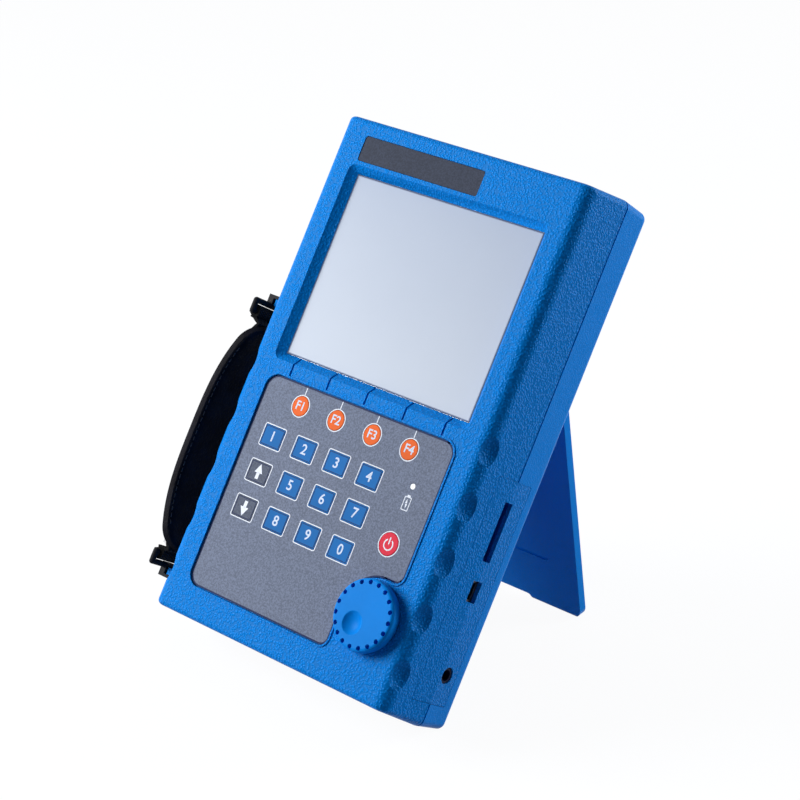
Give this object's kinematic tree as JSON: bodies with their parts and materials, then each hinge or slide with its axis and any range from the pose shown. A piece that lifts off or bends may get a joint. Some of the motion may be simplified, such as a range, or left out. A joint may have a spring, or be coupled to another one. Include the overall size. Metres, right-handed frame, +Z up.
{
  "type": "ultrasonic flaw detector",
  "caption": "Hand-held ultrasonic flaw detector with a colour screen, keypad, jog knob, carrying strap and side ports, leaning back on its open hinged stand.",
  "frame": {"origin": "on the floor, under the middle of the whole as it stands on its open stand", "axes": "+Z up, longest extent; -Y is where the screen and keys face, leaning back; +X is the side with the ports"},
  "size_m": [0.1846, 0.182, 0.2438],
  "materials": {
    "case_plastic": "moulded, leather-grained",
    "seal_rubber": "matt",
    "steel": "satin",
    "label_plastic": "satin",
    "lens_glass": "clear, anti-glare",
    "display_metal": "satin",
    "sheet_aluminium": "satin",
    "keypad_plastic": "satin",
    "circuit_board": "solder mask",
    "clear_plastic": "clear",
    "blue_key": "satin",
    "grey_key": "satin",
    "orange_key": "satin",
    "red_key": "satin",
    "black_plastic": "satin",
    "battery_wrap": "shrink wrap",
    "socket_chrome": "polished",
    "strap_leather": "smooth",
    "strap_webbing": "woven",
    "black_metal": "satin"
  },
  "bodies": {
    "case": {"front_shell": "case_plastic", "rear_shell": "case_plastic", "shell_gasket": "seal_rubber", "case_screws": "steel", "side_port_cover": "case_plastic", "label_plate": "label_plastic", "screen_lens": "lens_glass", "lcd_panel": "display_metal", "lcd_bracket": "sheet_aluminium", "keypad_overlay": "keypad_plastic", "keypad_board": "circuit_board", "status_led": "clear_plastic", "rotary_encoder": "steel", "main_board": "circuit_board", "pulser_shield": "sheet_aluminium", "buzzer": "black_plastic", "battery_pack": "battery_wrap", "port_board": "circuit_board", "card_connector": "black_plastic", "data_connector": "steel", "power_jack": "black_plastic", "probe_socket_left": "socket_chrome", "probe_socket_right": "socket_chrome", "kickstand_pin": "steel"},
    "key_top_1": {"key_top_1": "blue_key"},
    "key_top_2": {"key_top_2": "blue_key"},
    "key_top_3": {"key_top_3": "blue_key"},
    "key_top_4": {"key_top_4": "blue_key"},
    "key_arrow_up": {"key_arrow_up": "grey_key"},
    "key_middle_2": {"key_middle_2": "blue_key"},
    "key_middle_3": {"key_middle_3": "blue_key"},
    "key_middle_4": {"key_middle_4": "blue_key"},
    "key_arrow_down": {"key_arrow_down": "grey_key"},
    "key_bottom_2": {"key_bottom_2": "blue_key"},
    "key_bottom_3": {"key_bottom_3": "blue_key"},
    "key_bottom_4": {"key_bottom_4": "blue_key"},
    "function_key_1": {"function_key_1": "orange_key"},
    "function_key_2": {"function_key_2": "orange_key"},
    "function_key_3": {"function_key_3": "orange_key"},
    "function_key_4": {"function_key_4": "orange_key"},
    "power_key": {"power_key": "red_key"},
    "jog_knob": {"jog_knob": "case_plastic", "knob_shaft": "steel"},
    "kickstand": {"kickstand": "case_plastic"},
    "strap": {"strap_pad": "strap_leather", "strap_webbing_upper": "strap_webbing", "strap_webbing_lower": "strap_webbing", "strap_hook_upper": "black_metal", "strap_hook_lower": "black_metal", "strap_ring": "socket_chrome"}
  },
  "joints": [
    {"name": "key_top_1_press", "type": "slide", "parent": "case", "child": "key_top_1", "axis": [0, 0.8382, -0.5454], "range_m": [0, 0.0006], "stiffness_N_per_m": 1500},
    {"name": "key_top_2_press", "type": "slide", "parent": "case", "child": "key_top_2", "axis": [0, 0.8382, -0.5454], "range_m": [0, 0.0006], "stiffness_N_per_m": 1500},
    {"name": "key_top_3_press", "type": "slide", "parent": "case", "child": "key_top_3", "axis": [0, 0.8382, -0.5454], "range_m": [0, 0.0006], "stiffness_N_per_m": 1500},
    {"name": "key_top_4_press", "type": "slide", "parent": "case", "child": "key_top_4", "axis": [0, 0.8382, -0.5454], "range_m": [0, 0.0006], "stiffness_N_per_m": 1500},
    {"name": "key_arrow_up_press", "type": "slide", "parent": "case", "child": "key_arrow_up", "axis": [0, 0.8382, -0.5454], "range_m": [0, 0.0006], "stiffness_N_per_m": 1500},
    {"name": "key_middle_2_press", "type": "slide", "parent": "case", "child": "key_middle_2", "axis": [0, 0.8382, -0.5454], "range_m": [0, 0.0006], "stiffness_N_per_m": 1500},
    {"name": "key_middle_3_press", "type": "slide", "parent": "case", "child": "key_middle_3", "axis": [0, 0.8382, -0.5454], "range_m": [0, 0.0006], "stiffness_N_per_m": 1500},
    {"name": "key_middle_4_press", "type": "slide", "parent": "case", "child": "key_middle_4", "axis": [0, 0.8382, -0.5454], "range_m": [0, 0.0006], "stiffness_N_per_m": 1500},
    {"name": "key_arrow_down_press", "type": "slide", "parent": "case", "child": "key_arrow_down", "axis": [0, 0.8382, -0.5454], "range_m": [0, 0.0006], "stiffness_N_per_m": 1500},
    {"name": "key_bottom_2_press", "type": "slide", "parent": "case", "child": "key_bottom_2", "axis": [0, 0.8382, -0.5454], "range_m": [0, 0.0006], "stiffness_N_per_m": 1500},
    {"name": "key_bottom_3_press", "type": "slide", "parent": "case", "child": "key_bottom_3", "axis": [0, 0.8382, -0.5454], "range_m": [0, 0.0006], "stiffness_N_per_m": 1500},
    {"name": "key_bottom_4_press", "type": "slide", "parent": "case", "child": "key_bottom_4", "axis": [0, 0.8382, -0.5454], "range_m": [0, 0.0006], "stiffness_N_per_m": 1500},
    {"name": "function_key_1_press", "type": "slide", "parent": "case", "child": "function_key_1", "axis": [0, 0.8382, -0.5454], "range_m": [0, 0.0006], "stiffness_N_per_m": 1500},
    {"name": "function_key_2_press", "type": "slide", "parent": "case", "child": "function_key_2", "axis": [0, 0.8382, -0.5454], "range_m": [0, 0.0006], "stiffness_N_per_m": 1500},
    {"name": "function_key_3_press", "type": "slide", "parent": "case", "child": "function_key_3", "axis": [0, 0.8382, -0.5454], "range_m": [0, 0.0006], "stiffness_N_per_m": 1500},
    {"name": "function_key_4_press", "type": "slide", "parent": "case", "child": "function_key_4", "axis": [0, 0.8382, -0.5454], "range_m": [0, 0.0006], "stiffness_N_per_m": 1500},
    {"name": "power_key_press", "type": "slide", "parent": "case", "child": "power_key", "axis": [0, 0.8382, -0.5454], "range_m": [0, 0.0006], "stiffness_N_per_m": 1500},
    {"name": "jog_knob_spin", "type": "hinge", "parent": "case", "child": "jog_knob", "pos_m": [0.06428, -0.07222, 0.05905], "axis": [0, -0.8382, 0.5454], "continuous": true},
    {"name": "kickstand_hinge", "type": "hinge", "parent": "case", "child": "kickstand", "pos_m": [0.01258, 0.05161, 0.16006], "axis": [1, 0, 0], "range_deg": [-42, 0]},
    {"name": "strap_swing", "type": "hinge", "parent": "case", "child": "strap", "pos_m": [-0.07732, -0.0259, 0.08806], "axis": [0, 0.5454, 0.8382], "range_deg": [-15, 15]}
  ]
}
